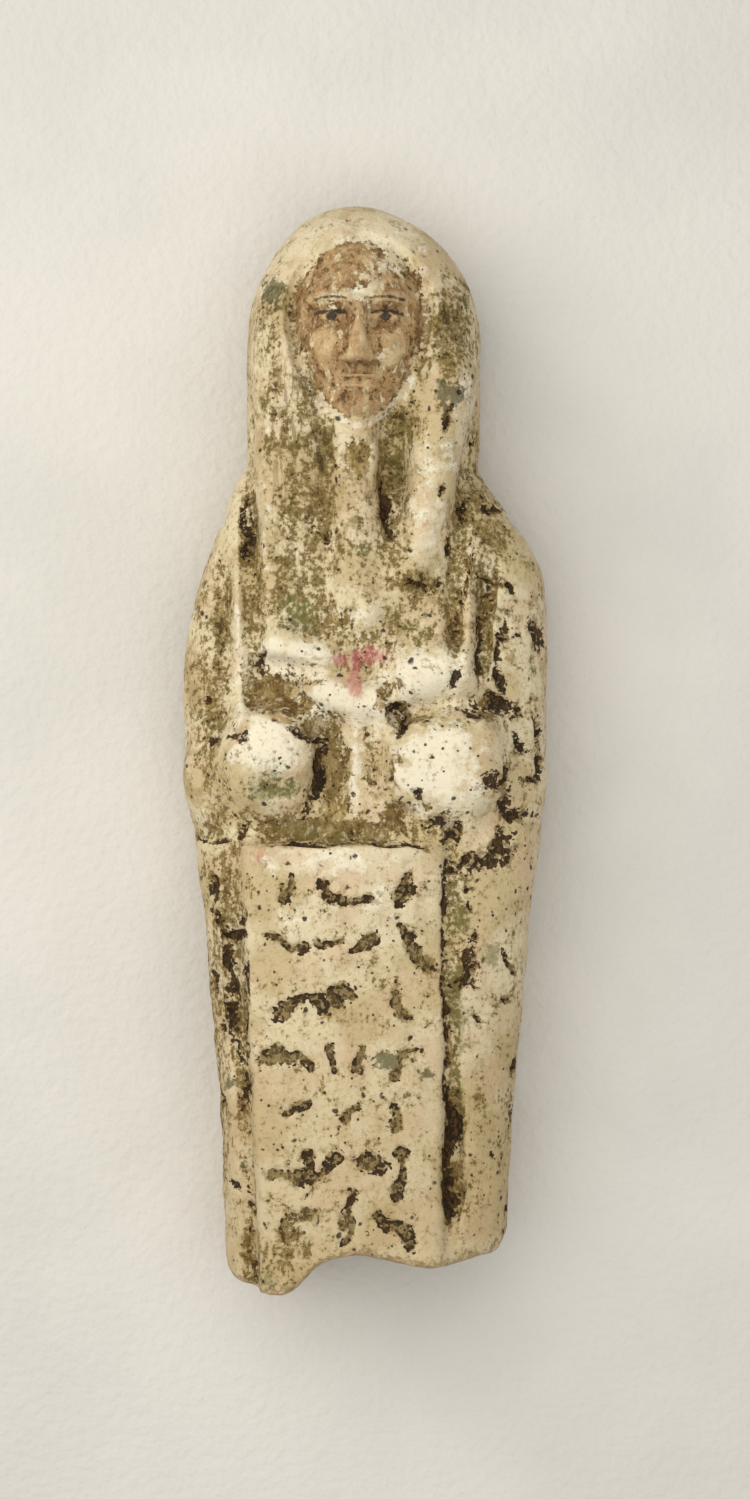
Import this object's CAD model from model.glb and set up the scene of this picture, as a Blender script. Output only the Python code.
import itertools
import math

import bpy
import numpy as np
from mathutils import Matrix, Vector


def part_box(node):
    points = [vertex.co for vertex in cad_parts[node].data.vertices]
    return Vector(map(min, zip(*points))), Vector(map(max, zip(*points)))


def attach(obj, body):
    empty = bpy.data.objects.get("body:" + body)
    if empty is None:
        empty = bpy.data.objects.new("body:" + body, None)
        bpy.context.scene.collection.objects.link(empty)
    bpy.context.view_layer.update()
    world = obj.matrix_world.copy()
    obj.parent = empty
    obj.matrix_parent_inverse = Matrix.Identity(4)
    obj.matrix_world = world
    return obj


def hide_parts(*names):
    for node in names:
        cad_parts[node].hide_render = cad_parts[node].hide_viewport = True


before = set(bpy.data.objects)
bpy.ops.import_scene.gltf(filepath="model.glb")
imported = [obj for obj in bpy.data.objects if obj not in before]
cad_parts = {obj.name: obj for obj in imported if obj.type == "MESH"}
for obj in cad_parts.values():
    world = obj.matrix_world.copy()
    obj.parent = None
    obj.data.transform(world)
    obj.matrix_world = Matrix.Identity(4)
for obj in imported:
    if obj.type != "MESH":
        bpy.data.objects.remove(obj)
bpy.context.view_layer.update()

# A worn, glazed Egyptian ushabti that lies on its back on a pale sheet, seen from straight above.
# The figurine's form is a signed field in drawn millimetres (below zero is inside), drawn in from a
# fan of rays to one fine closed mesh. Wear, carving and colour masks are then laid over that mesh.

NODE = "ushabti_figure"
LENGTH = 110.0  # as drawn; the finished form is fitted to the frame's real box
node_low, node_high = (np.array(corner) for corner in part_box(NODE))

# ------------------------------------------------------------------ driving sizes of the form
HEAD_TOP = LENGTH / 2
BREAK_Y = -50.7
BREAK_ROUNDING = 1.6
BREAK_RAKE = 0.9  # the back of the break stands this much higher than the front
BACK_Z = -0.6  # the back is round to this depth, and is flattened at z = 0
BACK_TO_RIM = (7, 12)  # carved lines fade in between these heights

# The outline of the body: (y, half width) down each side and (y, height) along the front.
BODY_LEFT = [(32, 0.5), (29.5, 8), (27.8, 12.4), (25.6, 13.8), (21.5, 15.2), (17.5, 16.7), (12, 18),
             (5, 18.6), (-3, 18.4), (-9, 17.4), (-20, 16.3), (-32, 15.2), (-44, 14.6), (-58, 14.3)]
BODY_RIGHT = [(32, 0.5), (29.5, 8), (27.6, 11.5), (25, 13.6), (21.5, 15.9), (17.5, 17.8), (12, 18.4),
              (5, 18.5), (-3, 18.3), (-9, 17.6), (-20, 16.5), (-32, 15.4), (-44, 14.6), (-58, 14)]
BODY_FRONT = [(32, 9), (29, 12.5), (25, 15.4), (18, 17), (8, 16.9), (-2, 16.8), (-12, 18.7),
              (-30, 18.8), (-58, 17.8)]
# The edge of the break: (x, how far it stands towards the head).
BREAK_LINE = [
    (-15.4, -1.2), (-14.2, -2.9), (-12.4, -3.8), (-9, -4.3), (-7.2, -3.9), (-5.6, -2.5), (-4.4, -1.4),
    (-2.8, -0.8), (-0.5, -0.3), (1.6, -0.8), (4.6, -1.5), (7, -1.7), (9, -1.3), (11.2, -0.8), (13, -0.6),
    (14.2, 0.1), (15.2, 1.4),
]

WIG_HALF_WIDTH, WIG_HALF_DEPTH, WIG_MIDDLE_Z = 12.0, 9.6, 9.0
DOME_Y, DOME_RISE, DOME_POWER = 41.0, 14.0, 1.8
WIG_HEM = (23.0, 27.0)  # end of the hair at the back and at the front

# A face of the builder's own: hairline to brow, brow to nose and nose to chin are equal.
FACE_X, CHIN_Y, HAIR_Y = -0.7, 32.2, 50.0
THIRD = (HAIR_Y - CHIN_Y) / 3
NOSE_Y, BROW_Y = CHIN_Y + THIRD, CHIN_Y + 2 * THIRD
MOUTH_Y, EYE_Y, EYE_X = NOSE_Y - THIRD / 3, BROW_Y - 1.5, 2.7

APRON_TOP_Y, APRON_LEFT_X, APRON_RIGHT_X, APRON_FRONT_Z = -9.3, -12.6, 8, 20.3

# Carved lines: width, then (x, y, depth) points; a negative depth is a raised rib.
FURROWS = [
    # lappet and sleeve edges on the left, then on the right
    (1.5, [(-12.2, 27, 0.1), (-11.7, 22.5, 0.7), (-11.4, 18.5, 0.6), (-11.1, 12, 0.5), (-10.6, 8, 0.1)]),
    (1.6, [(-14.6, 19, 0), (-14.2, 15, 0.6), (-14.1, 10, 0.6), (-14.4, 6, 0)]),
    (2, [(-12.9, 22, 0), (-12.7, 14, -0.6), (-12.4, 3, -0.35)]),
    (1.4, [(9.9, 27, 0.1), (9.4, 22, 0.7), (8.7, 17, 0.9), (8.5, 11, 0.7), (8.5, 7.5, 0)]),
    (1.2, [(12.8, 19, 0), (12, 16, 0.8), (11.6, 12, 0.9), (11.4, 7.4, 0.7), (11.4, 5.6, 0)]),
    (1.5, [(10.8, 21, 0), (10.2, 15, -0.9), (10, 7, -0.4)]),
    # elbow crease, the crease above the apron and the one over the right fist
    (1.2, [(-17.2, -8.4, 0.2), (-15.4, -8.7, 0.6), (-13.8, -8.6, 0.2)]),
    (1.2, [(-12.4, -8.4, 0.2), (-5, -8.5, 0.8), (2, -8.6, 0.8), (5.4, -8.8, 0)]),
    (1.3, [(2.4, 2, 0.4), (4.6, 3.4, 0.8), (8, 4.1, 0.5), (12, 4.3, 0.4), (14.5, 3.6, 0.1)]),
    # along the apron's sides
    (1.5, [(-13.6, -11, 0.1), (-13.4, -16, 0.6), (-13.1, -20, 0.9), (-13, -26, 0.9), (-12.6, -30, 0.7),
          (-12.1, -33, 0.5), (-11.8, -40, 0.4), (-11.5, -44, 0.7), (-11.2, -56, 0.7)]),
    (1, [(8.4, -10, 0.4), (8.4, -30, 0.7), (8.5, -49, 0.5)]),
    (1.2, [(8.8, -32, 0), (8.9, -36, 1), (8.7, -44, 1), (8.7, -48, 0)]),
    # hollows beside the beard
    (2.5, [(3.2, 32, 0.3), (2.7, 26, 1), (2.4, 21, 0.5), (2, 18.5, 0)]),
    (1.2, [(-4.1, 31, 0.3), (-3.9, 25, 0.5), (-3.7, 19, 0)]),
    # over and beside the left fist, and between the worn pads of the forearms
    (3.2, [(-10.6, 5.7, 0.7), (-7.6, 5.5, 0.9), (-5.2, 2.8, 0.6)]),
    (1.2, [(-6, 2.6, 0.2), (-4.5, 1.1, 0.4), (-4.1, -1, 0.4), (-4.7, -4, 0.4), (-6, -6.4, 0.2)]),
    (1.6, [(2, 7.2, 0.2), (2.6, 5.2, 0.8), (3.2, 3, 0.7)]),
    (1.1, [(-10.8, 7.8, 0.5), (-7, 7.9, 0.5), (-4.4, 7.2, 0.3)]),
]
FURROW_STRENGTH = 0.85

# ------------------------------------------------------------------ the fine mesh's grid
FRONT_COLUMNS, BACK_COLUMNS = 168, 42
SIDE_ROWS, END_ROWS = 432, 26
REACH, STRIDE, HALVINGS = 22.0, 0.45, 11  # a ray's length, its steps and the halvings of the last one
RING_CROWDING = 0.06  # the rings crowd towards the head's top over about this share of the way
FAN_WIDTH, FAN_Z, FAN_HEAD_RISE, FAN_POWER = 0.84, 8.4, 0.8, 5  # where the rays start and how they turn
END_MIDDLE_Z, END_POWER = 8.5, 1.2  # the middle of the broken end, and how its rings close in on it

# ------------------------------------------------------------------ strokes, pits and the camera
SEED = 1187
STROKE_ROWS, STROKE_TOP_Y, STROKE_PITCH = 7, -14.4, 5.5
STROKE_LEFT_X, STROKE_ROW_LENGTH, STROKE_STRAY = -10.2, 16.4, 0.9
STROKE_JOINTS, STROKE_BEND, STROKE_STEPS, STROKE_HALF_WIDTHS = (2, 6), 1.3, (0.8, 1.7), (0.2, 0.78)
PITS, PIT_AREA = 420, ((-18.5, -52), (18.5, 54.5))
PIT_RADII, PIT_DEPTHS = (0.2, 0.5), (0.12, 0.3)
EYE = (0.96, -0.33, 434.1)  # the camera's place
# Marks are written as the camera sees them, true to size at this height, and stay on the surface.
MARK_Z, MARK_SHIFT_Y = 12.5, 0.3
LENS_MM, SENSOR_MM = 100, 36
# The sheet and the lamp are in metres.
SHEET_HALF = 1.5
LIGHT_PLACE, LIGHT_SIZE = (-0.09, 0.05, 0.24), (0.3, 0.7)
LIGHT_WATTS, LIGHT_COLOUR = 0.96, (1, 0.965, 0.9)
ROOM_COLOUR, ROOM_STRENGTH = (0.93, 0.96, 1, 1), 0.46


# ------------------------------------------------------------------ small mathematics
def along(stations, place):
    """Smooth curve through (place, value) stations, level beyond the ends."""
    at, value = np.array(stations, float).T
    if at[0] > at[-1]:
        at, value = at[::-1], value[::-1]
    before, after = np.maximum(np.arange(len(at)) - 1, 0), np.minimum(np.arange(len(at)) + 1, len(at) - 1)
    slope = (value[after] - value[before]) / (at[after] - at[before])
    t = np.clip(place, at[0], at[-1])
    i = np.clip(np.searchsorted(at, t, side="right") - 1, 0, len(at) - 2)
    step = at[i + 1] - at[i]
    u = (t - at[i]) / step
    return (value[i] * (1 + 2 * u) * (1 - u) ** 2 + slope[i] * step * u * (1 - u) ** 2
            + value[i + 1] * u * u * (3 - 2 * u) + slope[i + 1] * step * u * u * (u - 1))


def ease(t, low, high):
    u = np.clip((t - low) / (high - low), 0, 1)
    return u * u * (3 - 2 * u)


def bell(t):
    return np.exp(-t * t)


def union(a, b, blend):
    h = np.maximum(blend - np.abs(a - b), 0) / blend
    return np.minimum(a, b) - h * h * blend / 4


def meet(a, b, blend):
    return -union(-a, -b, blend)


def cut(a, b, blend):
    return meet(a, -b, blend)


def pill(x, y, z, start, end, start_radius, end_radius, flat):
    """A tapered capsule whose height is scaled by `flat`."""
    dx, dy, dz = end[0] - start[0], end[1] - start[1], (end[2] - start[2]) / flat
    px, py, pz = x - start[0], y - start[1], (z - start[2]) / flat
    t = np.clip((px * dx + py * dy + pz * dz) / (dx * dx + dy * dy + dz * dz), 0, 1)
    distance = np.sqrt((px - t * dx) ** 2 + (py - t * dy) ** 2 + (pz - t * dz) ** 2)
    return (distance - start_radius - (end_radius - start_radius) * t) * min(1.0, flat)


def egg(x, y, z, centre, radii, power=2.0):
    """An egg; a power above 2 makes it squarer."""
    c = [np.abs(place - middle) / radius + 1e-9 for place, middle, radius in zip((x, y, z), centre, radii)]
    k = (c[0] ** power + c[1] ** power + c[2] ** power) ** (1 / power)
    gradient = np.sqrt(sum(((v / k) ** (power - 1) / radius) ** 2 for v, radius in zip(c, radii)))
    return (k - 1) / gradient


def section(x, z, half_width, top, bottom, power):
    """A rounded cross-section of a body that runs along Y."""
    half = (top - bottom) / 2
    q = np.abs(x / half_width) ** power + np.abs((z - (top + bottom) / 2) / half) ** power
    return (q ** (1 / power) - 1) * np.minimum(half_width, half)


def dent(x, y, centre_x, centre_y, rx, ry):
    return bell((x - centre_x) / rx) * bell((y - centre_y) / ry)


def furrow(x, y, width, route):
    """Depth of one carved line at a place in plan."""
    gap, depth = np.full(np.shape(x), 1e9), np.zeros(np.shape(x))
    for (ax, ay, start), (bx, by, end) in zip(route, route[1:]):
        dx, dy = bx - ax, by - ay
        t = np.clip(((x - ax) * dx + (y - ay) * dy) / (dx * dx + dy * dy), 0, 1)
        distance = np.hypot(x - ax - t * dx, y - ay - t * dy)
        depth = np.where(distance < gap, start + (end - start) * t, depth)
        gap = np.minimum(gap, distance)
    return depth * bell(gap / (width / 2))


# ------------------------------------------------------------------ the figurine's parts
def body(x, y, z):
    left, right = along(BODY_LEFT, y), along(BODY_RIGHT, y)
    wrapped = section(x - (right - left) / 2, z, (left + right) / 2, along(BODY_FRONT, y), BACK_Z, 2.8)
    return meet(wrapped, y - BODY_FRONT[0][0], 1)


def head_lean(rise):
    """How far the head's middle line lies to the viewer's left."""
    return -0.3 - 0.8 * rise ** 4


def wig(x, y, z):
    rise = np.clip((y - DOME_Y) / DOME_RISE, 0, 1)
    dome = np.sqrt(np.maximum(1 - rise ** DOME_POWER, 1e-6))
    fall = 3.6 * ease(-y, -39, -29)
    half = WIG_HALF_DEPTH * np.sqrt(np.maximum(1 - rise ** 2.3, 1e-6)) - fall / 2
    middle = WIG_MIDDLE_Z + 0.2 * rise - fall / 2
    hair = section(x - head_lean(rise), z, WIG_HALF_WIDTH * dome, middle + half, middle - half, 2.25)
    hem = WIG_HEM[0] + (WIG_HEM[1] - WIG_HEM[0]) * ease(z, 9, 13.5)
    return meet(hair, hem - y, 2)


def face_opening(x, y):
    upper = (np.hypot((x - FACE_X) / 6.9, (y - 43.2) / 7.6) - 1) * 6.9
    jaw = (np.hypot((x - FACE_X) / 4.6, (y - 37.4) / 5.4) - 1) * 4.6
    return union(upper, jaw, 3)


def face(x, y, z):
    u = x - FACE_X
    side = np.abs(u)
    down = np.clip((BROW_Y - y) / (BROW_Y - NOSE_Y), 0, 1)
    sockets = -1.0 * dent(side, y, EYE_X, EYE_Y, 1.9, 1.3)
    brows = 0.45 * dent(side, y, 3, BROW_Y + 0.3, 2.5, 0.75)
    cheeks = 0.4 * dent(side, y, 3.5, 39.2, 1.6, 1.9)
    chin = 0.6 * dent(u, y, 0, CHIN_Y + 1.2, 1.9, 1.5)
    eyes = 0.7 * ease(1.3 - np.hypot((side - EYE_X) / 1.5, (y - EYE_Y) / 0.75), 0, 0.8)
    lips = 0.65 * np.exp(-(u / 1.9) ** 4) * (bell((y - MOUTH_Y - 0.5) / 0.42)
                                            + 0.9 * bell((y - MOUTH_Y + 0.5) / 0.46))
    nose = (0.45 + 1.55 * down) * ease(y, NOSE_Y - 0.7, NOSE_Y + 0.3)
    nose = nose * ease(-y, -BROW_Y - 1.2, -BROW_Y + 0.8)
    nose = nose * np.exp(-(side / (0.75 + 0.8 * down ** 1.5)) ** 2.4)
    skull = egg(x, y, z, (FACE_X, 41.3, 10.6), (8, 11.6, 8.9))
    return meet(skull - sockets - brows - cheeks - chin - eyes - lips - nose, face_opening(x, y), 0.8)


def lappets(x, y, z):
    flat = pill(x, y, z, (-7, 41, 14.4), (-6.4, 14, 13.7), 4.2, 3.8, 0.86)
    ridge = pill(x, y, z, (-9.4, 39, 14.6), (-9.1, 13.2, 15.2), 1.8, 1.7, 1.1)
    left = meet(union(flat, ridge, 1.8), 11.2 - y, 1.4)
    bar_end = (4.6, 16, 14.5)
    bar = pill(x, y, z, (7.9, 37, 13.9), bar_end, 3.3, 3, 1.15)
    return union(left, meet(bar, 15.4 - y + 0.12 * (x - bar_end[0]), 0.8), 0.8)


def chest(x, y, z):
    form = pill(x, y, z, (-1.3, 33.5, 15.6), (-1.2, 14, 14.6), 2.9, 3.5, 0.9)
    ridges = [
        ((-8.6, 10.2, 16.4), (-4.6, 8.7, 16.5), 2.2, 1.9),
        ((-4.6, 5.1, 16.5), (1.3, 4.4, 16.5), 2.5, 2.6),
        ((4.6, 6.7, 16.4), (7.4, 8, 16.3), 2.9, 3),
    ]
    for start, end, start_radius, end_radius in ridges:
        form = union(form, pill(x, y, z, start, end, start_radius, end_radius, 0.95), 1)
    pads = [
        ((9.6, 6.9, 13.8), (3.2, 3, 4.2)),
        ((0.5, 13.2, 14.6), (2.1, 2, 3.9)),
        ((-1, -0.8, 13.6), (1.6, 7, 4)),
    ]
    for centre, radii in pads:
        form = union(form, egg(x, y, z, centre, radii), 1.4)
    return form


def arms(x, y, z):
    left = egg(x, y, z, (-9.2, -1.4, 13.4), (5.2, 5.8, 7.1), 2.8)
    left = union(left, egg(x, y, z, (-8.6, 1.6, 14.2), (3.9, 3.4, 5.8), 2.3), 2)
    left = left + 1.3 * dent(x, y, -8.7, -4, 2.6, 1.2)
    left = union(left, pill(x, y, z, (-10.4, -2.2, 14), (-13.8, -3, 11.6), 4.6, 4.3, 1), 2.5)
    right = egg(x, y, z, (6.2, -1.9, 13), (5.6, 6, 7.2), 3)
    right = union(right, egg(x, y, z, (10.2, -1.2, 12.9), (3.8, 5.6, 6.9), 2.8), 2)
    right = right + 0.5 * dent(x, y, 3.4, -7, 3, 2)
    right = union(right, pill(x, y, z, (8.6, -3, 13.6), (13, -3.4, 11.4), 5.4, 4.6, 1), 2.5)
    return union(left, right, 0.5)


def apron(x, y, z):
    drop = (-9.2 - y) / 42
    left, right = APRON_LEFT_X + drop, APRON_RIGHT_X + 0.15 * drop
    middle = (left + right) / 2
    plan = meet(np.abs(x - middle) - (right - left) / 2, y - APRON_TOP_Y, 1.6)
    front = APRON_FRONT_Z - np.clip(drop, 0, 1.2) - 0.012 * (x - middle) ** 2
    return meet(plan, (z - front) * 0.98, 1.6)


def figurine(x, y, z):
    opening = meet(face_opening(x, y) + 0.1, 12.5 - z, 0.5)
    head = cut(union(wig(x, y, z), lappets(x, y, z), 1.6), opening, 1.6)
    form = union(body(x, y, z), head, 1)
    form = union(form, chest(x, y, z), 1.2)
    form = union(form, face(x, y, z), 0.9)
    form = union(form, arms(x, y, z), 1.6)
    form = union(form, apron(x, y, z), 0.5)
    front = ease(z, *BACK_TO_RIM)
    carved = sum(furrow(x, y, width, route) for width, route in FURROWS)
    hem = furrow(x, y, 1.2, [(-20, 23.5, 0.5), (0, 21.5, 0.3), (20, 23.5, 0.5)])
    return np.maximum(form + front * FURROW_STRENGTH * carved + (1 - front) * hem, -z)


# ------------------------------------------------------------------ drawing the grid onto the form
def break_offset(x, z):
    return along(BREAK_LINE, x) + BREAK_RAKE * (1 - ease(z, 0, 14))


def surface_grid():
    """Points of the surface as rows from the head's top to the middle of the broken end."""
    w = np.linspace(0, 1, SIDE_ROWS + 1)[1:]
    rings = HEAD_TOP - (HEAD_TOP - BREAK_Y - 0.02) * w * w * (1 + RING_CROWDING) / (w + RING_CROWDING)
    front = np.linspace(-1, 1, FRONT_COLUMNS + 1)[:-1]
    back = np.linspace(1, -1, BACK_COLUMNS + 1)[:-1]
    across = np.concatenate([front, back])
    across = 0.5 * across + 0.5 * np.sin(np.pi / 2 * across)
    side = np.concatenate([np.ones(FRONT_COLUMNS), -np.ones(BACK_COLUMNS)])
    ring, across = np.meshgrid(rings, across, indexing="ij")

    rise = np.clip((ring - DOME_Y) / DOME_RISE, 0, 1)
    is_head = ease(ring, 26, 29)
    left, right = along(BODY_LEFT, ring), along(BODY_RIGHT, ring)
    head_half = WIG_HALF_WIDTH * np.sqrt(np.maximum(1 - rise ** DOME_POWER, 0))
    half = (1 - is_head) * (left + right) / 2 + is_head * head_half
    middle = (1 - is_head) * (right - left) / 2 + is_head * head_lean(rise)
    angle = np.pi / 2 * np.sign(across) * np.abs(across) ** FAN_POWER
    start_x, start_z = middle + FAN_WIDTH * half * across, FAN_Z + FAN_HEAD_RISE * is_head
    step_x, step_z = np.sin(angle), np.cos(angle) * side
    bend = ease(-ring, 38, -BREAK_Y)

    def place(distance):
        x, z = start_x + distance * step_x, start_z + distance * step_z
        return x, ring + bend * break_offset(x, z), z

    def inside(distance):
        return meet(figurine(*place(distance)), BREAK_Y - ring, BREAK_ROUNDING) < 0

    near = np.full(ring.shape, REACH)
    found = np.zeros(ring.shape, bool)
    for _ in range(math.ceil(REACH / STRIDE)):
        found |= inside(near)
        near = np.where(found, near, near - STRIDE)
    far = near + STRIDE
    for _ in range(HALVINGS):
        halfway = (near + far) / 2
        is_in = inside(halfway)
        near, far = np.where(is_in, halfway, near), np.where(is_in, far, halfway)
    grid = np.stack(place(np.maximum((near + far) / 2, 0)), -1)

    end = []
    centre = np.array([0, 0, END_MIDDLE_Z])
    for row in range(1, END_ROWS):
        ring_points = centre + (grid[-1] - centre) * (1 - (row / END_ROWS) ** END_POWER)
        ring_points[:, 1] = BREAK_Y + break_offset(ring_points[:, 0], ring_points[:, 2])
        end.append(ring_points)
    return np.concatenate([grid, np.array(end)])


def grid_faces(rows, columns):
    start = np.arange(rows - 1)[:, None] * columns
    here, after = np.arange(columns)[None, :], (np.arange(columns)[None, :] + 1) % columns
    quads = np.stack([start + here, start + here + columns, start + after + columns, start + after], -1)
    return quads.reshape(-1, 4)


def grid_normals(grid):
    down = np.gradient(grid, axis=0)
    round_ring = np.roll(grid, -1, 1) - np.roll(grid, 1, 1)
    normal = np.cross(down, round_ring)
    return normal / np.maximum(np.linalg.norm(normal, axis=-1, keepdims=True), 1e-9)


def blurred(field, reach):
    """The field averaged over a square of grid points, `reach` to each side."""
    total = np.zeros_like(field)
    for shift in range(-reach, reach + 1):
        total += np.roll(field, shift, 1)
    rows = np.clip(np.arange(len(field))[:, None] + np.arange(-reach, reach + 1), 0, len(field) - 1)
    return total[rows].mean(1) / (2 * reach + 1)


def grain(points, size, seed):
    """A smooth random field between about -1 and 1, with lumps of this size in drawn millimetres."""
    table = np.random.default_rng(seed).uniform(-1, 1, (32, 32, 32))
    q = points / size + 100
    cell = np.floor(q).astype(int)
    f = q - cell
    f = f * f * (3 - 2 * f)
    total = 0
    for corner in itertools.product((0, 1), repeat=3):
        weight = np.prod(np.where(corner, f, 1 - f), axis=-1)
        i, j, k = np.moveaxis((cell + corner) % 32, -1, 0)
        total = total + weight * table[i, j, k]
    return total


def fray(points, size, seed, layers=3):
    """Grain in layers, each half the size and strength of the one before."""
    return sum(grain(points, size / 2 ** i, seed + i) / 2 ** i for i in range(layers)) / 1.6


# ------------------------------------------------------------------ wear, carving and stains
# Broad stains: x, y, reach in x, reach in y, strength.
SOIL = [
    (-6.4, 25, 3, 11, 0.46), (-5, 31, 1.6, 4, 0.42), (-7.6, 17, 2.8, 5, 0.46), (-9, 32, 2.2, 5, 0.42),
    (-9.8, 43, 1.4, 5, 0.44), (8.8, 42, 2.2, 5.6, 0.72), (-10, 37, 1.4, 5, 0.38), (-6, 36.4, 1.2, 2.4, 0.4),
    (6, 39, 1.4, 2, 0.36), (-8.8, -51, 3.6, 2.6, 0.5), (2.7, 25, 1.5, 7, 0.36), (4, 33, 2.2, 2, 0.42),
    (-5, 13.4, 2.4, 2.4, 0.42), (-14.5, 12, 0.9, 7, 0.42), (-16, 7, 2, 12, 0.4), (-13, -4, 3, 4, 0.3),
    (0, 11, 3, 3, 0.3), (-1.4, 21, 3, 4, 0.3), (-11.3, 14, 0.8, 5, 0.34), (-11.8, 22, 0.7, 3.6, 0.66),
    (11.8, 21, 2.8, 7, 0.52), (14, 16, 3, 6, 0.24), (12, 13, 0.6, 6, 0.5), (10.3, 12, 0.7, 6, 0.34),
    (8.8, 13, 0.7, 5, 0.46), (5.4, 17, 2.6, 1.1, 0.8), (5, 12.6, 3.4, 3, 0.22), (-9, -4, 2.6, 1.1, 0.34),
    (-4, -7.6, 8, 1.1, 0.5), (-14.2, -14, 1.4, 4, 0.42), (-12.6, -26, 0.4, 7, 0.36), (9.2, -17, 1, 7, 0.4),
    (8.9, -30, 0.6, 18, 0.34), (-13.4, -42, 1.2, 12, 0.14), (12.8, -38, 3, 16, 0.18),
    (15, -30, 1, 18, 0.22), (-15.2, -27, 1.5, 22, 0.5), (6, 3.4, 2.6, 0.6, 0.42), (10, -43, 1.2, 6, 0.26),
    (0, 19, 2, 3, 0.24), (-3, -53, 9, 2.5, 0.2), (16.6, 4, 1.2, 10, 0.2), (-15.8, -3, 1, 7, 0.22),
    (10.4, 30, 1.4, 5, 0.24),
]
# Places where the glaze is gone to the brown core.
CORE = [
    (-9.6, 6.2, 2.3, 1.8, 0.95), (-7.4, 4.4, 2.4, 1.2, 0.8), (-5.4, 2.6, 1.6, 0.9, 0.8),
    (-5.8, 7.2, 1.4, 0.5, 0.5), (2.4, 6.4, 1.2, 1.2, 0.75), (3.4, 3.7, 0.9, 1, 0.7),
    (-3.2, -1.4, 1.2, 4.4, 0.95), (-3, -5.4, 1.6, 2.4, 0.9), (2.4, -6.4, 1.8, 1.6, 0.8),
    (2.2, -2.6, 0.7, 2.2, 0.6), (0.4, -2.4, 0.6, 1.6, 0.5), (-4, -7.8, 7.6, 0.9, 0.85),
    (-0.6, 29.4, 1.7, 2.2, 0.95), (0.6, 26.4, 0.6, 2, 0.6), (-3, 12.8, 1.4, 1.7, 0.66),
    (1.4, 4.8, 1, 0.7, 0.5), (5.4, -5.4, 1.2, 0.6, 0.5), (3.4, -0.6, 0.6, 0.8, 0.55),
    (2.3, -3.6, 0.5, 1.8, 0.7), (-14.2, -13.4, 0.9, 1.6, 0.6),
]
# Raised places that keep a bright, thick glaze.
BRIGHT = [
    (-7.2, 9.7, 4, 2.5, 1), (-3.6, 5.2, 3.4, 2, 1), (0.6, 4.2, 2.8, 2.4, 0.9), (5.7, 7.4, 4.4, 3.2, 1),
    (-9.6, 0.4, 4, 3.4, 0.9), (7, -1.6, 4.6, 4.6, 0.95), (-1, -0.4, 0.9, 3, 0.8),
    (-1.2, -4.4, 0.6, 2.6, 0.7), (-12.8, 13, 0.8, 6, 0.45), (-12.6, 5, 1, 3.4, 0.55),
    (0.2, 13.2, 1.7, 1.6, 0.6), (-9.9, 20, 0.8, 8, 0.22), (6.2, 24, 1.8, 4.4, 0.5), (-3, -11, 7, 1.6, 0.6),
    (-7.4, -17, 2.4, 1.6, 0.34), (7.2, 29.6, 2.6, 3, 0.4), (10.4, 11, 0.7, 7, 0.16), (-9.6, 30, 1, 6, 0.3),
    (0, 49, 6, 4, 0.45), (10, 37, 1.2, 6, 0.4), (1.4, -15.6, 2.6, 2.4, 0.3),
]
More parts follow.
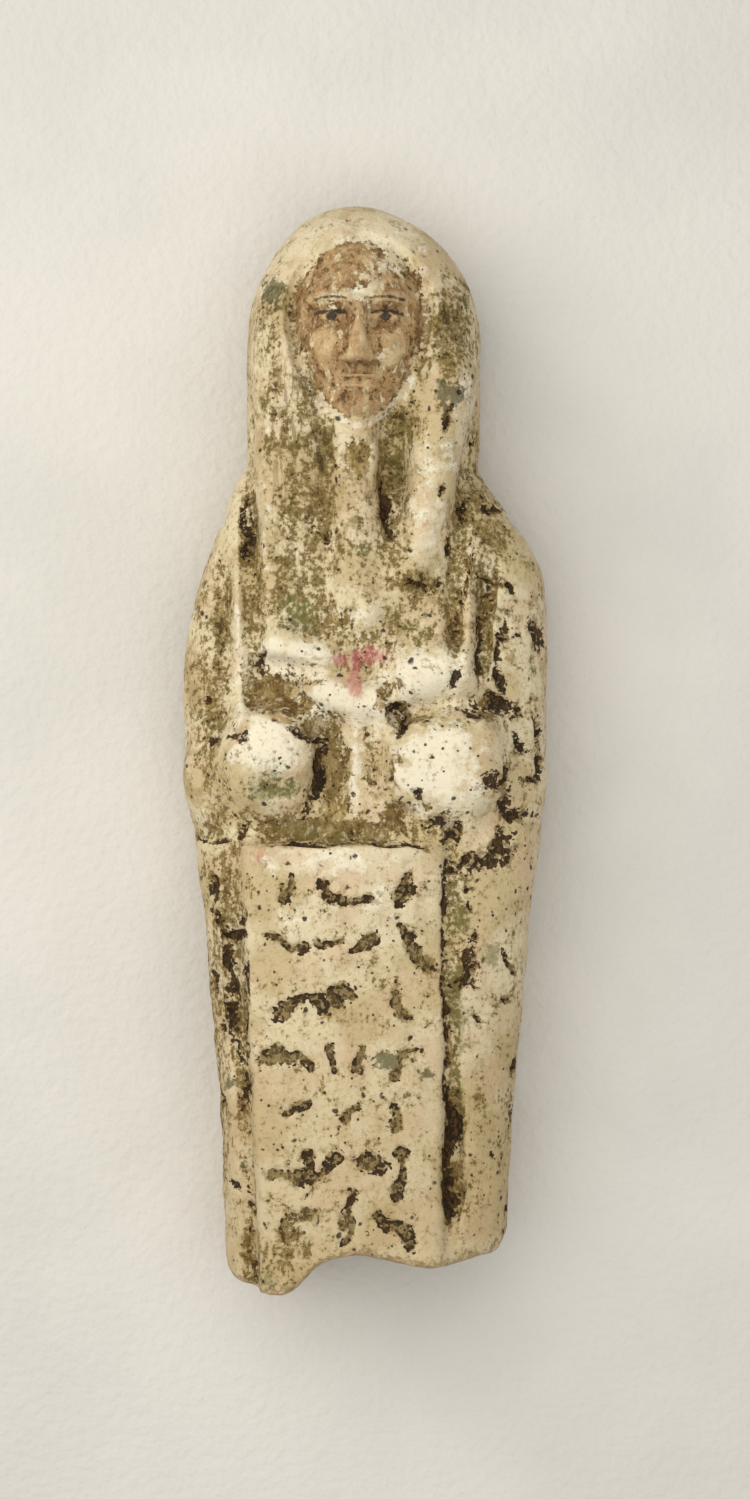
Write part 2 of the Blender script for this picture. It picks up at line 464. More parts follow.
# Dark flaked losses: x, y, half length, half width, turn in degrees.
FLAKES = [
    (17.2, 11.6, 1.4, 0.5, 102), (13.2, 9.9, 0.8, 0.35, 100), (13.4, 7.2, 1.2, 0.38, 105),
    (8.8, 7.2, 1, 0.5, 65), (10.9, 4.2, 1.1, 0.5, -15), (13.2, 4.8, 1.5, 0.65, -35),
    (15.2, 4.2, 0.5, 0.28, -60), (17.2, 2, 1.2, 0.24, 95), (17.4, -1.4, 1.7, 0.28, 84),
    (15.4, 0.8, 0.9, 0.42, 110), (13, -3.1, 1, 0.8, 0), (14.1, -1.9, 0.8, 0.28, 80),
    (16.4, -2.6, 0.8, 0.34, 20), (15.2, -6.3, 1.4, 0.5, -5), (14, -5.2, 0.6, 0.42, 60),
    (13.5, -9.2, 1.3, 0.95, 60), (12.2, -11.1, 1.8, 0.8, 12), (9.4, -11.2, 1.7, 0.42, 38),
    (10.1, -13.9, 0.55, 0.45, 0), (10.6, -15.8, 0.45, 0.24, -60), (10.3, -21.4, 2, 0.75, 94),
    (9.7, -22.9, 0.9, 0.45, 20), (10.8, -18.6, 0.5, 0.28, 80), (14.4, -21.2, 1.2, 0.24, 112),
    (14.2, -24.9, 0.4, 0.3, 0), (11, -26.7, 0.7, 0.26, -50), (7.4, -7, 0.9, 0.5, 20),
    (8.7, -8.2, 0.9, 0.5, 80), (-15.4, -13.4, 1.1, 0.36, 100), (-14.7, -17.1, 1.2, 0.42, -55),
    (-13.2, -18.3, 0.9, 0.55, 0), (-12.6, -17, 1, 0.3, 90), (-12.3, -8, 1.1, 0.36, 52),
    (-13, 2.1, 0.9, 0.36, 30), (-12.7, 1.5, 0.6, 0.36, -10), (-15.3, 1.4, 0.45, 0.3, 40),
    (-10.7, 9, 1, 0.34, 97), (-11.8, 21.3, 1.6, 0.34, 92), (-12.1, 24.6, 1.2, 0.24, 80),
    (-16, 5.2, 0.5, 0.34, 0), (-14.6, -34.6, 0.7, 0.14, 100), (-12.5, -35.2, 0.9, 0.24, 90),
    (-15.2, -23, 0.9, 0.24, 90), (-14.3, -27.6, 0.4, 0.3, 0), (-13.1, -43.5, 0.9, 0.26, -22),
    (-6.8, -53.7, 0.4, 0.26, 0), (-6.2, 2, 1.1, 0.42, -30), (-4.4, 1.3, 0.7, 0.3, -20),
    (12.4, 17, 0.9, 0.18, -35), (14.4, 16.6, 0.7, 0.22, -60), (10.3, 19.8, 1.2, 0.2, 72),
    (12.6, 24.8, 0.8, 0.36, -20), (8.6, 20.6, 0.8, 0.2, 95), (5.2, 16.6, 1.3, 0.4, -8),
    (14.1, 12.8, 0.6, 0.42, 30), (13.4, 11.7, 0.5, 0.34, -20), (15, 11.8, 0.5, 0.2, 10),
    (4.4, 16.9, 0.8, 0.36, -30), (7.3, 17, 0.7, 0.24, 60), (8, 33.4, 1.3, 0.34, 75),
    (11.2, 31, 0.5, 0.26, 90), (2.2, 24.6, 1.6, 0.34, 92), (-4, 21.4, 0.9, 0.26, 100),
    (3.5, 2.7, 0.8, 0.3, 60), (3, 4.1, 0.6, 0.26, 100), (7.6, 26.3, 0.5, 0.2, 70),
    (9.6, 24.6, 1.6, 0.16, 80), (14.9, -31.4, 0.8, 0.16, 88), (14.7, -37, 1.2, 0.14, 88),
    (14.4, -46.6, 1.4, 0.2, 88), (12.9, -40.4, 0.35, 0.18, -60), (-9.2, 36.4, 0.6, 0.2, 70),
    (5, -4.4, 0.5, 0.34, 20),
]
# Long dark lines where soil fills the deep grooves: width, then (x, y, strength) points.
DARK_LINES = [
    (0.8, [(-13.5, -17.6, 0.6), (-13.5, -20, 1.2), (-13.4, -25, 1.2), (-13.1, -29, 1), (-12.8, -32, 0.7)]),
    (0.4, [(-12.2, -20, 0.8), (-12.2, -31, 0.9), (-12, -38, 0.5), (-11.8, -44, 0.7), (-11.4, -54, 0.8)]),
    (0.55, [(8.2, -11, 0.9), (8, -17, 1.1), (8, -27, 1), (8.1, -35, 1.1)]),
    (0.7, [(8.4, -33.4, 0.4), (8.7, -36, 1.6), (8.4, -41, 1.3), (8.5, -46.4, 1.6), (8.5, -47.8, 0.3)]),
    (0.75, [(-17.1, -8.4, 0.6), (-16.2, -8.8, 1), (-14.3, -8.7, 0.9)]),
    (0.45, [(-8.6, -9.2, 0.2), (-7.4, -8.7, 1), (-4.2, -9.2, 1.1), (-2.8, -8.7, 0.7), (0.4, -8.7, 0.8),
            (2.4, -9.3, 1.2), (4.2, -8.9, 0.9), (5.8, -9.5, 0.9)]),
    (0.9, [(-7.2, 4, 0.3), (-6, 2.4, 1.1), (-4.5, 1.2, 1), (-4.1, -0.6, 0.9), (-4.3, -2.6, 1), (-5, -4.4, 1),
           (-6, -6.4, 0.6)]),
    (0.5, [(2.2, -2, 0.4), (2.8, -4, 0.9), (3.4, -5.2, 0.3)]),
    (0.7, [(12.2, 17, 0.5), (11.4, 12, 1), (11.3, 7, 0.9), (11.5, 6, 0.2)]),
    (0.5, [(10.1, 22, 0.4), (9.8, 19, 0.9), (9.2, 14, 0.7), (8.8, 12, 0.5)]),
    (0.6, [(1.9, 27.4, 0.5), (2.1, 24, 0.9), (2.4, 21, 0.5)]),
]
# More patches, written like SOIL: green, slate and pink stains, lines of hair, crowds of specks.
GREEN = [
    (-6.6, 14.2, 1.8, 1.6, 0.8), (-9, -4, 2.6, 1.2, 1.1), (-9.4, -1.4, 2.6, 0.6, 0.5),
    (12.6, -20.4, 0.9, 1.6, 0.8), (9, -26, 0.9, 8, 0.6), (5.6, 12.4, 2, 2, 0.3),
    (16.6, 9.6, 0.9, 2.4, 0.55), (-6, -8, 5, 0.8, 0.34), (-0.6, 20.4, 0.9, 0.7, 0.6), (3.6, 30, 2, 3, 0.3),
    (-9.6, -53, 1.4, 1.2, 0.7), (9.4, -16, 1.1, 3.6, 0.55), (-1.4, 23, 1, 1, 0.35), (8.8, 3, 2, 1, 0.35),
]
SLATE = [
    (8.3, 36.2, 1.6, 1.2, 1), (7.9, 34, 0.5, 1.4, 0.9), (-9.4, 46.6, 1.2, 1.5, 0.9),
    (1.8, -31.2, 1.4, 1, 1), (6.2, -32.2, 0.7, 0.5, 0.8), (9.8, 45.2, 0.9, 1.6, 0.35),
    (-13.7, -33.2, 0.5, 0.9, 0.7), (-12.6, -41.8, 0.5, 0.5, 0.8),
]
PINK = [
    (-2, 9.4, 1.7, 0.7, 1), (0.2, 9.8, 1.8, 0.8, 1), (-1.2, 7.4, 0.6, 2.2, 0.9),
    (-10.8, -10.4, 1.8, 1, 0.38), (5.8, 22.7, 0.5, 0.5, 0.7),
]
HAIR_LINES = [
    (-7.6, 33, 2.8, 7, 0.8), (-6.2, 23, 3, 6, 0.5), (-10.6, 42, 1.6, 5, 0.5), (9.6, 40, 1.6, 6, 0.4),
]
SPECKLED = [
    (0, 6, 11, 6, 0.85), (14, 10, 4, 12, 0.9), (-15.5, 6, 3, 12, 0.7), (-7, 24, 4, 12, 0.9),
    (7, 12, 5, 5, 0.7), (0, 0, 20, 8, 0.35), (12, -22, 4, 14, 0.4), (9, 30, 3, 8, 0.5),
    (-2, -30, 9, 18, 0.8), (12, 22, 3, 6, 0.9), (-7, 36, 3, 6, 0.7),
]


def stained(x, y, patches):
    """Cover of soft ovals: full strength in the middle, about half of it at their reach."""
    cover = np.zeros(np.shape(x))
    for centre_x, centre_y, rx, ry, strength in patches:
        away = np.hypot((x - centre_x) / rx, (y - centre_y) / ry)
        cover = np.maximum(cover, strength * np.exp(-away ** 3 * 0.7))
    return cover


def flaked(x, y, flakes):
    """Cover of turned ovals: 1 in the middle, 0.5 on the rim, 0 at twice their reach."""
    cover = np.zeros(np.shape(x))
    for centre_x, centre_y, half_length, half_width, turn in flakes:
        c, s = math.cos(math.radians(turn)), math.sin(math.radians(turn))
        u, v = (x - centre_x) * c + (y - centre_y) * s, (y - centre_y) * c - (x - centre_x) * s
        cover = np.maximum(cover, np.clip(1 - np.hypot(u / half_length, v / half_width) / 2, 0, 1))
    return cover


def stroke_rows():
    """Worn strokes in rows on the apron: no letters, only bent bars as chains of (x, y, half width)."""
    random = np.random.default_rng(SEED)
    strokes = []
    for row in range(STROKE_ROWS):
        count = 3 + row % 2
        for k in range(count):
            joints = random.integers(*STROKE_JOINTS)
            turns = np.cumsum(random.uniform(-STROKE_BEND, STROKE_BEND, joints)) + random.uniform(0, math.tau)
            lengths = random.uniform(*STROKE_STEPS, joints)[:, None]
            steps = lengths * np.stack([np.cos(turns), np.sin(turns)], -1)
            chain = np.concatenate([np.zeros((1, 2)), np.cumsum(steps, 0)])
            middle_x = STROKE_LEFT_X + STROKE_ROW_LENGTH * (k + 0.5) / count
            middle_x += random.uniform(-STROKE_STRAY, STROKE_STRAY)
            middle_y = STROKE_TOP_Y - STROKE_PITCH * row + random.uniform(-STROKE_STRAY, STROKE_STRAY)
            middle = (middle_x, middle_y)
            half_widths = random.uniform(*STROKE_HALF_WIDTHS, joints + 1)
            strokes.append(np.column_stack([chain - chain.mean(0) + middle, half_widths]))
    return strokes


def struck(x, y, strokes):
    """Cover of the strokes: 1 along the middle, 0.5 on the rim, 0 at twice the half width."""
    cover = np.zeros(np.shape(x))
    for chain in strokes:
        for (ax, ay, start), (bx, by, end) in zip(chain, chain[1:]):
            dx, dy = bx - ax, by - ay
            t = np.clip(((x - ax) * dx + (y - ay) * dy) / (dx * dx + dy * dy), 0, 1)
            gap = np.hypot(x - ax - t * dx, y - ay - t * dy) / (start + (end - start) * t)
            cover = np.maximum(cover, np.clip(1 - gap / 2, 0, 1))
    return cover


def pits(points, seed):
    """Depth of small round pits scattered evenly over the front and the sides, as seen from above."""
    random = np.random.default_rng(seed)
    depth = np.zeros(points.shape[:-1])
    on_front = points[:, :FRONT_COLUMNS].reshape(-1, 3)
    for _ in range(PITS):
        place = random.uniform(*PIT_AREA)
        radius, deep = random.uniform(*PIT_RADII), random.uniform(*PIT_DEPTHS)
        centre = on_front[np.argmin(np.sum((on_front[:, :2] - place) ** 2, -1))]
        near = np.abs(points[..., 1] - centre[1]) < 1.5 * radius
        distance = np.linalg.norm(points[near] - centre, axis=-1)
        depth[near] = np.maximum(depth[near], deep * ease(-distance, -radius, -0.3 * radius))
    return depth


def lay_wear(grid):
    """Moves the surface in along its normals and returns the colour masks."""
    x, y, z = np.moveaxis(grid, -1, 0)
    normal = grid_normals(grid)
    seen = (EYE[2] - MARK_Z) / (EYE[2] - z)
    sx, sy = EYE[0] + (x - EYE[0]) * seen, MARK_SHIFT_Y + (y - EYE[1]) * seen
    wx, wy = sx + 0.5 * fray(grid, 1.5, 11), sy + 0.5 * fray(grid, 1.5, 21)
    front = ease(z, 7.5, 12)
    is_face = ease(-face_opening(x, y), -0.2, 0.8) * front
    is_end = np.zeros_like(x)
    is_end[SIDE_ROWS - 4:] = 1
    is_end = blurred(is_end, 3)

    ragged, torn = fray(grid, 1.6, 81, 2), fray(grid, 1, 91, 2)
    shown = front * (1 - is_end)
    strokes = struck(wx, wy, stroke_rows())
    strokes = (strokes + 0.3 * ragged * ease(strokes, 0.05, 0.3)) * shown
    flakes = flaked(wx, wy, FLAKES)
    flakes = (flakes + 0.22 * torn * ease(flakes, 0.05, 0.3)) * shown
    lines = sum(furrow(wx, sy, width, route) for width, route in DARK_LINES)
    lines = lines * shown * (0.8 + 0.6 * ragged)
    bare = stained(wx, wy, CORE)
    core = (bare + 0.25 * ragged * (bare > 0.1)) * front
    face_wear = ease(fray(grid, 3.2, 31) + 0.5, -0.25, 0.45) * is_face
    rim = ease(-np.abs(face_opening(x, y) - 0.1), -0.6, -0.1) * ease(-y, -39, -35) * ease(z, 10, 14)
    core = np.maximum(core, 0.9 * face_wear * (1 - 0.8 * rim))
    pit = pits(grid, SEED + 1)

    soiled = stained(sx, sy, SOIL) * (1 - is_face)
    lumps = 0.16 * (1 + grain(grid, 9, 41)) + 0.13 * (1 + grain(grid, 3.4, 42))
    lumps += 0.07 * (1 + grain(grid, 1.5, 43))
    depth = lumps * (1 - 0.75 * is_face)
    weathered = 0.16 * soiled * (1 + grain(grid, 0.7, 44))
    weathered += 0.03 * (1 + grain(grid, 0.55, 48)) * (1 - is_face)
    depth += weathered
    depth += 0.3 * ease(strokes, 0.35, 0.65) * (1 + 0.4 * grain(grid, 0.6, 45))
    depth += 0.36 * ease(flakes, 0.4, 0.6) * (1 + 0.3 * grain(grid, 0.7, 46))
    depth += 0.3 * np.clip(lines, 0, 1)
    depth += (0.2 - 0.12 * is_face) * ease(core, 0.35, 0.6) * (1 + 0.5 * grain(grid, 1.1, 47))
    depth += pit * (1 - 0.8 * is_face)
    depth = depth * ease(z, -0.2, 1.2)
    broken = 0.9 * (1 + fray(grid, 4.2, 61, 4)) + 0.3 * np.abs(fray(grid, 1.4, 71))
    worn = grid - normal * depth[..., None]
    worn[..., 1] += is_end * broken * ease(np.arange(len(grid)), SIDE_ROWS - 2, SIDE_ROWS + 6)[:, None]
    worn[..., 2] = np.maximum(worn[..., 2], 0)

    hollow = np.clip(np.sum((blurred(worn, 4) - worn) * normal, -1) / 0.22, -1, 1)
    wide_hollow = np.clip(np.sum((blurred(worn, 12) - worn) * normal, -1) / 0.75, -1, 1)
    soil = 0.23 + 0.85 * soiled + 0.1 * hollow + 0.1 * np.maximum(wide_hollow, -0.6)
    soil = soil + 0.3 * is_end + 0.1 * (1 - front) - 0.1 * is_face - 0.12 * ease(y, 45, 49)
    masks = {
        "soil": np.clip(soil, 0, 0.74),
        "core": np.maximum(core, 0.8 * is_end),
        "face": is_face,
        "cavity": 0.5 + 0.5 * np.clip(0.6 * hollow + 0.8 * wide_hollow, -1, 1),
        "bright": np.clip(stained(wx, wy, BRIGHT) * front + 0.6 * rim, 0, 1) * (1 - 0.7 * is_end),
        "flake": flakes,
        "line": np.clip(lines, 0, 1),
        "stroke": strokes,
        "strokedark": np.clip(0.5 + 0.9 * grain(grid, 1.9, 49), 0, 1),
        "green": stained(wx, wy, GREEN) * front,
        "slate": stained(wx, wy, SLATE) * front,
        "pink": stained(wx, wy, PINK) * front,
        "paint": face_paint(x, y) * is_face,
        "speck": np.clip(0.25 + stained(x, y, SPECKLED), 0, 1) * (1 - 0.7 * is_face),
        "pit": np.clip(pit / 0.25, 0, 1),
        "low": ease(-y, 8, 52) * front,
        "smudge": 0.25 + 0.4 * ease(y, -12, -4),
        "hair": stained(sx, sy, HAIR_LINES) * (1 - is_face) * front,
    }
    return worn, masks


def face_paint(x, y):
    """Faded dark paint: pupils, upper lids and brows."""
    side = np.abs(x - FACE_X)
    pupil = np.hypot((side - EYE_X) / 0.5, (y - EYE_Y) / 0.5)
    lid_height = 0.62 - 0.3 * ((side - EYE_X) / 1.6) ** 2
    lid = np.hypot(np.maximum(np.abs(side - EYE_X - 0.15) - 1.5, 0), y - EYE_Y - lid_height)
    brow = np.hypot(np.maximum(np.abs(side - 2.9) - 1.6, 0), y - BROW_Y - 0.45 + 0.09 * (side - 2.6) ** 2)
    drawn = np.maximum(0.8 * ease(-pupil, -1.3, -0.7), 0.75 * ease(-lid, -0.38, -0.1))
    return np.maximum(drawn, 0.62 * ease(-brow, -0.42, -0.12))


def fit_to_box(points):
    """Drawn millimetres to metres, with the form's box laid exactly onto the frame's box."""
    low, high = points.reshape(-1, 3).min(0), points.reshape(-1, 3).max(0)
    return node_low + (points - low) * (node_high - node_low) / (high - low)


def make_figurine():
    grid, masks = lay_wear(surface_grid())
    rows, columns = grid.shape[:2]
    top = grid[0].mean(0)
    bottom = grid[-1].mean(0)
    points = fit_to_box(np.concatenate([grid.reshape(-1, 3), [top, bottom]]))
    first, last = rows * columns, (rows - 1) * columns
    around = [(c, (c + 1) % columns) for c in range(columns)]
    faces = grid_faces(rows, columns).tolist()
    faces += [(first, a, b) for a, b in around] + [(first + 1, last + b, last + a) for a, b in around]
    mesh = bpy.data.meshes.new("figurine")
    mesh.from_pydata(points.tolist(), [], faces)
    mesh.shade_smooth()
    for name, field in masks.items():
        layer = mesh.attributes.new(name, "FLOAT", "POINT")
        values = np.concatenate([field.ravel(), [field.flat[0], field.flat[-1]]])
        layer.data.foreach_set("value", values.astype(np.float32))
    piece = bpy.data.objects.new("figurine", mesh)
    bpy.context.scene.collection.objects.link(piece)
    return piece


# ------------------------------------------------------------------ materials
NOISE_SPREAD = 0.06  # how far Blender's noise strays from 0.5
DOT_EDGE = 0.06  # softness of a dot's rim, as a share of the dots' spacing
DOT_WARP_SIZE = 0.45  # size of the bends in the grid of dots, as a share of its spacing
BUMP_METRES = 0.0003


def linear(hex_colour):
    """A linear RGBA colour from a written sRGB one."""
    parts = [int(hex_colour[i:i + 2], 16) / 255 for i in (0, 2, 4)]
    return [c / 12.92 if c <= 0.04045 else ((c + 0.055) / 1.055) ** 2.4 for c in parts] + [1]


class Nodes:
    """Builds a material's nodes; sizes are in millimetres."""

    def __init__(self, name):
        self.material = bpy.data.materials.new(name)
        self.material.use_nodes = True
        self.tree = self.material.node_tree
        self.shader = self.tree.nodes["Principled BSDF"]
        self.place = self.new("ShaderNodeTexCoord").outputs["Object"]

    def new(self, kind, **settings):
        node = self.tree.nodes.new(kind)
        for key, value in settings.items():
            setattr(node, key, value)
        return node

    def put(self, socket, value):
        if isinstance(value, bpy.types.NodeSocket):
            self.tree.links.new(value, socket)
        else:
            socket.default_value = value

    def math(self, operation, *values, clamp=False):
        node = self.new("ShaderNodeMath", operation=operation, use_clamp=clamp)
        for socket, value in zip(node.inputs, values):
            self.put(socket, value)
        return node.outputs[0]

    def mask(self, name):
        return self.new("ShaderNodeAttribute", attribute_name=name).outputs["Fac"]

    def noise(self, size, detail=4.0, roughness=0.55, distortion=0.0, stretch=None):
        """Noise spread to about -1 to 1 around 0, for most of its places."""
        node = self.new("ShaderNodeTexNoise")
        node.inputs["Scale"].default_value = 1000 / size
        node.inputs["Detail"].default_value = detail
        node.inputs["Roughness"].default_value = roughness
        node.inputs["Distortion"].default_value = distortion
        self.put(node.inputs["Vector"], self.stretched(stretch) if stretch else self.place)
        return self.math("DIVIDE", self.math("SUBTRACT", node.outputs["Fac"], 0.5), NOISE_SPREAD)

    def stretched(self, stretch):
        node = self.new("ShaderNodeMapping")
        self.put(node.inputs["Vector"], self.place)
        node.inputs["Scale"].default_value = stretch
        return node.outputs["Vector"]

    def ramp(self, value, low, high):
        node = self.new("ShaderNodeMapRange", interpolation_type="SMOOTHSTEP")
        self.put(node.inputs["Value"], value)
        node.inputs["From Min"].default_value = low
        node.inputs["From Max"].default_value = high
        return node.outputs["Result"]

    def patch(self, cover, noise, spread, soft):
        """Cover with its rim, at 0.5, broken up by the noise, and nothing where there is no cover."""
        broken = self.ramp(self.math("MULTIPLY_ADD", noise, spread, cover), 0.5 - soft, 0.5 + soft)
        return self.math("MULTIPLY", broken, self.ramp(cover, 0.02, 0.2))

    def mix(self, below, above, factor):
        """Two colours mixed; this node's inputs 6 and 7 and its output 2 are the ones for colours."""
        node = self.new("ShaderNodeMix", data_type="RGBA")
        self.put(node.inputs[0], factor)
        self.put(node.inputs[6], linear(below) if isinstance(below, str) else below)
        self.put(node.inputs[7], linear(above) if isinstance(above, str) else above)
        return node.outputs[2]

    def tint(self, below, above, cover, strength):
        """The colour above laid over the one below, at this strength where there is cover."""
        return self.mix(below, above, self.math("MULTIPLY", cover, strength))

    def dots(self, spacing, radius, share, warp):
        """1 inside round dots and 0 outside; a share of the cells of a bent grid hold one each."""
        bend = self.new("ShaderNodeTexNoise")
        bend.inputs["Scale"].default_value = 1000 / (spacing * DOT_WARP_SIZE)
        self.put(bend.inputs["Vector"], self.place)
        scaled = self.new("ShaderNodeVectorMath", operation="SCALE")
        self.put(scaled.inputs[0], bend.outputs["Color"])
        scaled.inputs["Scale"].default_value = warp / 1000
        added = self.new("ShaderNodeVectorMath", operation="ADD")
        self.put(added.inputs[0], self.place)
        self.put(added.inputs[1], scaled.outputs[0])
        cells = self.new("ShaderNodeTexVoronoi")
        cells.inputs["Scale"].default_value = 1000 / spacing
        self.put(cells.inputs["Vector"], added.outputs[0])
        split = self.new("ShaderNodeSeparateColor")
        self.put(split.inputs[0], cells.outputs["Color"])
        size = self.math("MULTIPLY", self.math("LESS_THAN", split.outputs[0], share), radius / spacing)
        size = self.math("MULTIPLY", size, self.math("MULTIPLY_ADD", split.outputs[1], 0.7, 0.5))
        gap = self.math("DIVIDE", self.math("SUBTRACT", size, cells.outputs["Distance"]), DOT_EDGE)
        return self.math("ADD", gap, 0.5, clamp=True)

    def bump(self, height, strength):
        node = self.new("ShaderNodeBump")
        node.inputs["Strength"].default_value = strength
        node.inputs["Distance"].default_value = BUMP_METRES
        self.put(node.inputs["Height"], height)
        self.put(self.shader.inputs["Normal"], node.outputs["Normal"])


def worn_glaze():
    n = Nodes("worn_glaze")
    fine, grit = n.noise(0.5, 8, 0.7), n.noise(0.2, 4, 0.65)
    patchy, clouds = n.noise(1.9, 9, 0.66), n.noise(8, 5, 0.5)
    fibres = n.noise(1, 9, 0.72, 0.5, (1, 0.36, 1))
    ragged = n.math("MULTIPLY_ADD", fine, 0.75, n.math("MULTIPLY", patchy, 0.65))
    torn = n.math("ADD", n.noise(1.1, 2, 0.5, 0.8), n.noise(0.45, 1, 0.5))
    is_face, cavity = n.mask("face"), n.mask("cavity")

    # cream glaze, warmer and darker in places and towards the broken end
    colour = n.mix("e8d8b2", "d2bd90", n.ramp(clouds, -1, 1.2))
    colour = n.tint(colour, "dabb96", n.ramp(n.noise(5, 3), 0, 2), 0.5)
    colour = n.tint(colour, "b59a68", n.mask("low"), 0.42)
    smudged = n.ramp(n.math("ADD", patchy, n.noise(3.4, 4)), 0.2, 3)
    colour = n.tint(colour, "ab9360", smudged, n.mask("smudge"))
    colour = n.tint(colour, "b89c6c", n.ramp(n.math("ADD", fine, grit), 0.9, 3), 0.5)
    # bright thick glaze, soft at its edges
    bright = n.patch(n.mask("bright"), patchy, 0.2, 0.3)
    colour = n.tint(colour, "fcf2d6", bright, 0.85)
    # soil and weathering: a thin tan film, then olive brown, then dark in the worst places
    grime = n.math("MULTIPLY_ADD", fibres, 0.11, n.mask("soil"))
    grime = n.math("MULTIPLY_ADD", patchy, 0.08, grime)
    grime = n.math("MULTIPLY_ADD", fine, 0.125, grime)
    grime = n.math("MULTIPLY_ADD", bright, -0.22, grime)
    colour = n.tint(colour, "aa925a", n.ramp(grime, 0.12, 0.66), 0.6)
    olive = n.mix("8f7a44", "6b572a", n.ramp(fine, -1, 1))
    colour = n.tint(colour, olive, n.ramp(grime, 0.5, 0.64), 0.8)
    colour = n.tint(colour, "35260f", n.ramp(grime, 0.84, 0.94), 0.85)
    # what is left of the fine lines of the hair
    strands = n.ramp(n.noise(0.5, 2, 0.5, 0.6, (1, 0.2, 0.6)), 0.3, 1.3)
    strands = n.math("MULTIPLY", strands, n.mask("hair"))
    colour = n.tint(colour, "6f5a30", strands, 0.7)
    # the bare core, brown and on the face reddish
    bare = n.patch(n.mask("core"), ragged, 0.2, 0.07)
    brown = n.mix("b39c64", "8a733f", n.ramp(patchy, -1, 1))
    reddish = n.mix("b99566", "96734a", n.ramp(patchy, -1, 1))
    clay = n.mix(brown, reddish, is_face)
    clay = n.tint(clay, "d2ba8a", n.ramp(fibres, 0.4, 1.5), 0.75)
    clay = n.tint(clay, "4a3416", n.ramp(n.math("SUBTRACT", fine, fibres), 0.9, 2), 0.85)
    clay = n.tint(clay, "ecdcb6", n.ramp(n.math("ADD", fibres, patchy), 1.6, 2.6), 0.8)
    clay = n.tint(clay, "5d3f1c", n.ramp(cavity, 0.54, 0.9), 0.34)
    raised = n.math("SUBTRACT", 1, n.ramp(cavity, 0.2, 0.46))
    clay = n.tint(clay, "dcbb8a", raised, 0.5)
    colour = n.mix(colour, clay, bare)
    # mineral stains
    colour = n.tint(colour, "69713c", n.patch(n.mask("green"), ragged, 0.24, 0.3), 0.52)
    colour = n.tint(colour, "c0606a", n.patch(n.mask("pink"), fibres, 0.22, 0.3), 0.56)
    colour = n.tint(colour, "5c5a36", n.patch(n.mask("slate"), ragged, 0.2, 0.16), 0.8)
    # carved strokes: tan around them, an olive, fibrous floor and dark soil in parts of it
    stroke = n.mask("stroke")
    floor = n.patch(stroke, torn, 0.06, 0.03)
    halo = n.patch(n.math("ADD", stroke, 0.12), ragged, 0.2, 0.14)
    colour = n.tint(colour, "a08655", halo, 0.5)
    fibrous = n.math("ADD", fine, n.noise(0.5, 3, 0.6, 1.5, (1, 0.5, 1)))
    colour = n.tint(colour, n.mix("8f7a4a", "4a3616", n.ramp(fibrous, -1, 1.3)), floor, 0.9)
    sooty = n.math("SUBTRACT", n.mask("strokedark"), 0.2)
    sooty = n.math("MULTIPLY_ADD", n.math("SUBTRACT", 0.75, stroke), 0.7, sooty)
    sooty = n.math("MULTIPLY", floor, n.patch(sooty, torn, 0.26, 0.14))
    colour = n.tint(colour, n.mix("1e1209", "4a3115", n.ramp(fibrous, 0, 1.5)), sooty, 0.9)
    # dark flakes and grooves with brown around them
    frayed = n.math("MULTIPLY_ADD", fibrous, 0.3, torn)
    flaked_off, groove = n.mask("flake"), n.mask("line")
    dark = n.patch(flaked_off, frayed, 0.085, 0.03)
    dark = n.math("MAXIMUM", dark, n.patch(groove, frayed, 0.07, 0.06))
    around = n.math("ADD", n.math("MAXIMUM", flaked_off, groove), 0.1)
    colour = n.tint(colour, "7a6034", n.patch(around, ragged, 0.24, 0.14), 0.6)
    colour = n.tint(colour, n.mix("1a1008", "553b1c", n.ramp(fibrous, -0.2, 1.6)), dark, 0.94)
    # pinholes and small chips, few on the face
    crowd = n.math("MULTIPLY_ADD", n.mask("speck"), 3, n.math("ADD", patchy, clouds))
    holes = n.math("MAXIMUM", n.dots(0.7, 0.13, 0.35, 0.16), n.dots(1.5, 0.24, 0.5, 0.5))
    holes = n.math("MULTIPLY", holes, n.ramp(n.ramp(crowd, 0, 3), 0.2, 0.55))
    holes = n.math("MAXIMUM", holes, n.dots(2.4, 0.28, 0.35, 0.9))
    holes = n.math("MULTIPLY", holes, n.math("SUBTRACT", 1, n.math("MULTIPLY", is_face, 0.8)))
    pitted = n.math("MULTIPLY", n.ramp(n.mask("pit"), 0.45, 0.9), n.ramp(fine, -0.6, 0.6))
    holes = n.math("MAXIMUM", holes, pitted)
    colour = n.tint(colour, n.mix("20140b", "553f1e", n.ramp(grit, 0, 1.6)), holes, 0.92)
    # painted eyes and brows
    colour = n.tint(colour, "2a2726", n.patch(n.mask("paint"), ragged, 0.07, 0.16), 0.85)

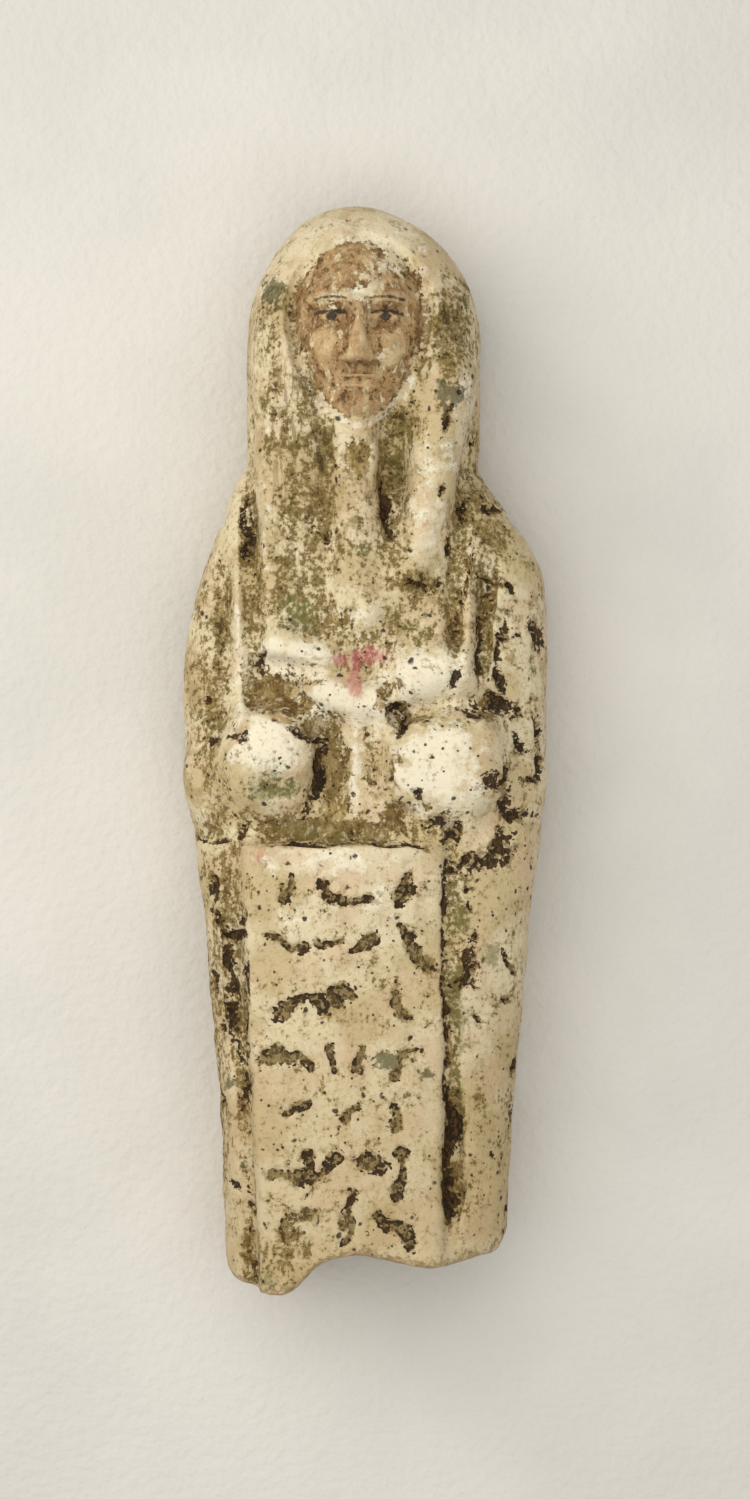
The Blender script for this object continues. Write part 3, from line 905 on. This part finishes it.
    lost = n.math("MAXIMUM", n.math("MULTIPLY", bare, 0.6), n.math("MULTIPLY", floor, 0.6))
    lost = n.math("MAXIMUM", dark, lost)
    rough = n.math("MAXIMUM", lost, n.ramp(grime, 0.4, 0.7))
    n.put(n.shader.inputs["Base Color"], colour)
    n.put(n.shader.inputs["Roughness"], n.math("MULTIPLY_ADD", rough, 0.35, 0.5))
    n.shader.inputs["Specular IOR Level"].default_value = 0.25
    height = n.math("MULTIPLY_ADD", fine, 0.04, n.math("MULTIPLY", grit, 0.02))
    height = n.math("MULTIPLY_ADD", patchy, 0.05, height)
    eaten = n.math("MAXIMUM", n.ramp(grime, 0.45, 0.7), strands)
    height = n.math("MULTIPLY_ADD", eaten, -0.2, height)
    height = n.math("MULTIPLY_ADD", n.math("MAXIMUM", holes, lost), -0.6, height)
    n.bump(height, 0.7)
    return n.material


def pale_sheet():
    n = Nodes("pale_sheet")
    n.put(n.shader.inputs["Base Color"], n.mix("e4dfd6", "dcd8cf", n.ramp(n.noise(30, 3), -2.5, 2.5)))
    n.shader.inputs["Roughness"].default_value = 0.6
    n.bump(n.math("MULTIPLY", n.noise(1.1, 2, 0.5), NOISE_SPREAD), 0.6)
    return n.material


# ------------------------------------------------------------------ camera, floor and light
def aim(thing, target):
    thing.rotation_euler = (Vector(target) - thing.location).to_track_quat("-Z", "Y").to_euler()


def soft_light(place, size, watts, colour):
    lamp = bpy.data.lights.new("soft_light", "AREA")
    lamp.shape = "RECTANGLE"
    lamp.size, lamp.size_y = size
    lamp.energy = watts
    lamp.color = colour
    thing = bpy.data.objects.new("soft_light", lamp)
    thing.location = place
    aim(thing, (0, 0, 0))
    bpy.context.scene.collection.objects.link(thing)


def set_scene():
    scene = bpy.context.scene
    scene.view_settings.view_transform = "Standard"
    lens = bpy.data.cameras.new("camera")
    lens.lens, lens.sensor_width = LENS_MM, SENSOR_MM
    camera = bpy.data.objects.new("camera", lens)
    camera.location = tuple(value / 1000 for value in EYE)  # unturned, it looks straight down
    scene.collection.objects.link(camera)
    scene.camera = camera

    mesh = bpy.data.meshes.new("sheet")
    half = SHEET_HALF
    corners = [(-half, -half, 0), (half, -half, 0), (half, half, 0), (-half, half, 0)]
    mesh.from_pydata(corners, [], [(0, 1, 2, 3)])
    mesh.materials.append(pale_sheet())
    floor = bpy.data.objects.new("sheet", mesh)
    scene.collection.objects.link(floor)

    world = bpy.data.worlds.new("room")
    world.use_nodes = True
    background = world.node_tree.nodes["Background"]
    background.inputs["Color"].default_value = ROOM_COLOUR
    background.inputs["Strength"].default_value = ROOM_STRENGTH
    scene.world = world
    soft_light(LIGHT_PLACE, LIGHT_SIZE, LIGHT_WATTS, LIGHT_COLOUR)


set_scene()
figurine_piece = make_figurine()
figurine_piece.data.materials.append(worn_glaze())
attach(figurine_piece, "root")
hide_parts(NODE)
